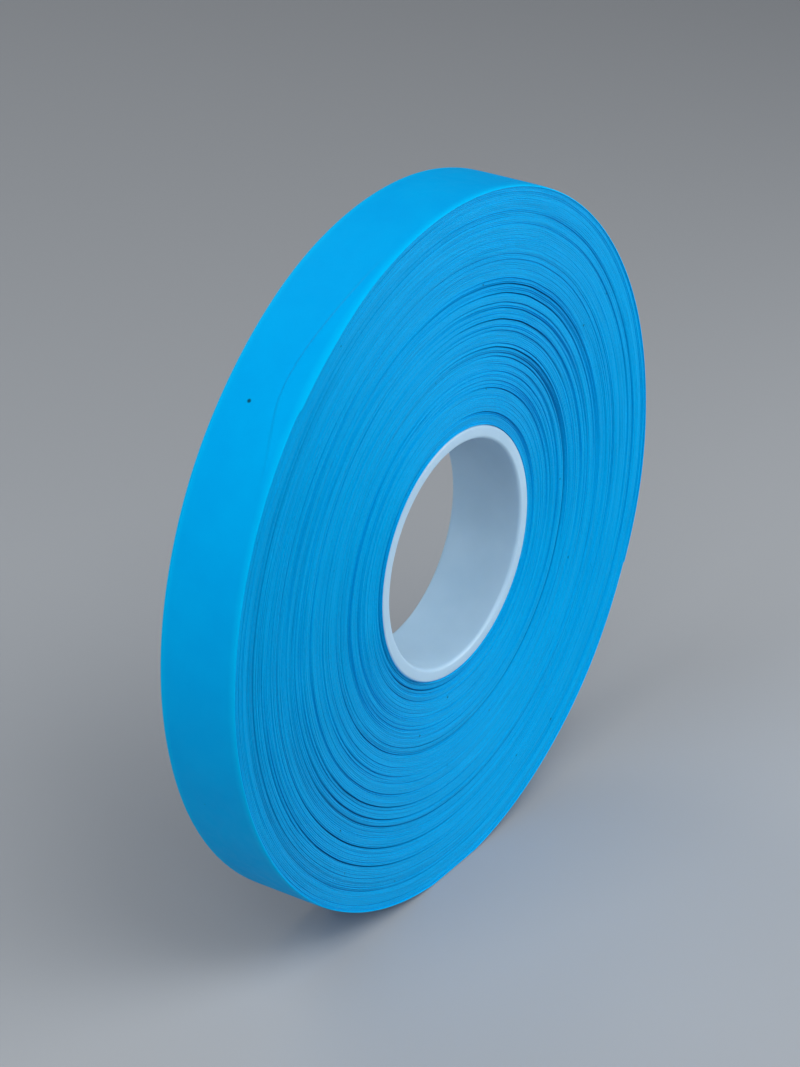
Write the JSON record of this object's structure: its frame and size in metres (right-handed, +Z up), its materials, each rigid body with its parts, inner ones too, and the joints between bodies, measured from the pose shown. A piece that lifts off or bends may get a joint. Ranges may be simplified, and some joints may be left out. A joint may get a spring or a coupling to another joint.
{
  "type": "grip tape roll",
  "caption": "Large roll of soft racket grip tape wound on a plastic core, standing on its edge, with a free tape end that peels away from the roll.",
  "frame": {"origin": "centre of the core's bore, midway across the tape's width", "axes": "+Y along the bore's axis, +Z up with the roll standing on its edge, +X towards the side where the tape's free end lies"},
  "size_m": [0.24, 0.027, 0.2389],
  "materials": {
    "core_plastic": "satin",
    "adhesive_tab": "matte",
    "grip_tape": "matte"
  },
  "bodies": {
    "roll": {"core": "core_plastic", "start_tab": "adhesive_tab", "winding_band_1": "grip_tape", "winding_band_2": "grip_tape", "winding_band_3": "grip_tape", "winding_band_4": "grip_tape", "winding_band_5": "grip_tape", "winding_band_6": "grip_tape", "winding_band_7": "grip_tape", "outer_turn": "grip_tape"},
    "tail_link_1": {"tail_link_1": "grip_tape"},
    "tail_link_2": {"tail_link_2": "grip_tape"},
    "tail_link_3": {"tail_link_3": "grip_tape"},
    "tail_link_4": {"tail_link_4": "grip_tape"},
    "tail_link_5": {"tail_link_5": "grip_tape"},
    "tail_link_6": {"tail_link_6": "grip_tape"}
  },
  "joints": [
    {"name": "tail_peel", "type": "hinge", "parent": "roll", "child": "tail_link_1", "pos_m": [0.1178, 0, 0.0229], "axis": [0, -1, 0], "range_deg": [0, 30]},
    {"name": "tail_bend_1", "type": "hinge", "parent": "tail_link_1", "child": "tail_link_2", "pos_m": [0.11954, 0, 0.01046], "axis": [0, -1, 0], "range_deg": [0, 30]},
    {"name": "tail_bend_2", "type": "hinge", "parent": "tail_link_2", "child": "tail_link_3", "pos_m": [0.11998, 0, -0.00209], "axis": [0, -1, 0], "range_deg": [0, 30]},
    {"name": "tail_bend_3", "type": "hinge", "parent": "tail_link_3", "child": "tail_link_4", "pos_m": [0.11911, 0, -0.01462], "axis": [0, -1, 0], "range_deg": [0, 30]},
    {"name": "tail_bend_4", "type": "hinge", "parent": "tail_link_4", "child": "tail_link_5", "pos_m": [0.11692, 0, -0.02699], "axis": [0, -1, 0], "range_deg": [0, 30]},
    {"name": "tail_bend_5", "type": "hinge", "parent": "tail_link_5", "child": "tail_link_6", "pos_m": [0.11346, 0, -0.03907], "axis": [0, -1, 0], "range_deg": [0, 30]}
  ],
  "couplings": [
    {"joint": "tail_bend_1", "follows": "tail_peel", "ratio": 1},
    {"joint": "tail_bend_2", "follows": "tail_peel", "ratio": 1},
    {"joint": "tail_bend_3", "follows": "tail_peel", "ratio": 1},
    {"joint": "tail_bend_4", "follows": "tail_peel", "ratio": 1},
    {"joint": "tail_bend_5", "follows": "tail_peel", "ratio": 1}
  ]
}
